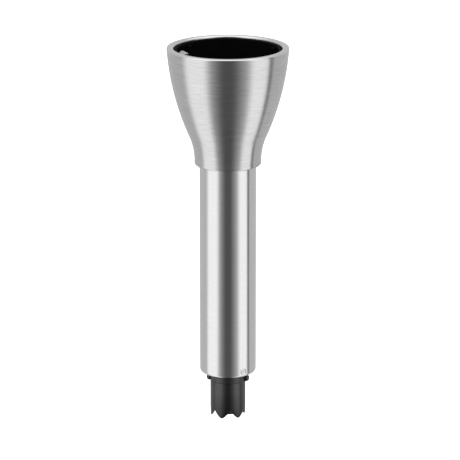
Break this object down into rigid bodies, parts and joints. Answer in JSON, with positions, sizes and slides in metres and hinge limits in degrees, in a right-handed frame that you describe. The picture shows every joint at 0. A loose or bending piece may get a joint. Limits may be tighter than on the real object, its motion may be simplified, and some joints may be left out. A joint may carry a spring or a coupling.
{
  "type": "immersion blender arm",
  "caption": "Blending arm of an immersion blender: flared steel socket cup with a latch, shaft tube with the drive line inside, and a toothed black nose with bayonet lugs.",
  "frame": {"origin": "centre of the socket's floor, at the lower end of the pilot bore that the motor body enters", "axes": "+Z along the drive axis towards the cup's mouth; +X towards one of the two bayonet lugs on the nose"},
  "size_m": [0.06, 0.06, 0.1883],
  "materials": {
    "cup_steel": "fine circumferential brushing",
    "tube_steel": "satin",
    "liner_black": "matte moulded black",
    "nose_black": "glossy moulded black",
    "crown_black": "satin moulded charcoal",
    "inner_plastic": "plain moulded",
    "bush_plastic": "plain moulded",
    "rubber_black": "matte",
    "spring_steel": "bright rolled",
    "fastener_steel": "plain",
    "bearing_steel": "ground and polished",
    "cage_brass": "pressed",
    "shaft_steel": "ground",
    "bronze": "sintered",
    "head_alloy": "die cast"
  },
  "bodies": {
    "arm": {"cup_shell": "cup_steel", "socket_liner": "liner_black", "rim_gasket": "rubber_black", "latch_pin": "fastener_steel", "latch_spring": "spring_steel", "liner_screws": "fastener_steel", "collar_ring": "inner_plastic", "arm_tube": "tube_steel", "tube_head": "head_alloy", "upper_seal": "rubber_black", "bearing_circlip": "fastener_steel", "bearing_outer": "bearing_steel", "upper_spacer": "inner_plastic", "steady_bush": "bush_plastic", "lower_spacer": "inner_plastic", "nose_housing": "nose_black", "nose_o_ring": "rubber_black", "lower_bushing": "bronze", "lower_seal": "rubber_black", "seal_spring": "spring_steel", "crown_sleeve": "crown_black"},
    "drive_train": {"drive_shaft": "shaft_steel", "input_coupling": "crown_black", "coupling_pin": "fastener_steel", "shaft_spacer": "shaft_steel", "bearing_inner": "bearing_steel", "shaft_circlip": "fastener_steel", "drive_socket": "crown_black", "socket_pin": "fastener_steel"},
    "bearing_cage": {"bearing_balls": "bearing_steel", "bearing_cage": "cage_brass"},
    "latch": {"latch_catch": "spring_steel"}
  },
  "joints": [
    {"name": "drive_spin", "type": "hinge", "parent": "arm", "child": "drive_train", "pos_m": [0, 0, 0], "axis": [0, 0, 1], "continuous": true},
    {"name": "cage_spin", "type": "hinge", "parent": "arm", "child": "bearing_cage", "pos_m": [0, 0, 0], "axis": [0, 0, 1], "continuous": true},
    {"name": "latch_tilt", "type": "hinge", "parent": "arm", "child": "latch", "pos_m": [-0.02085, -0.0138, 0.0195], "axis": [0.5519, -0.8339, 0], "range_deg": [0, 5], "stiffness_Nm_per_rad": 0.08, "springref_deg": -8.59, "deforming": ["latch_spring"]}
  ],
  "couplings": [
    {"joint": "cage_spin", "follows": "drive_spin", "ratio": 0.372}
  ]
}
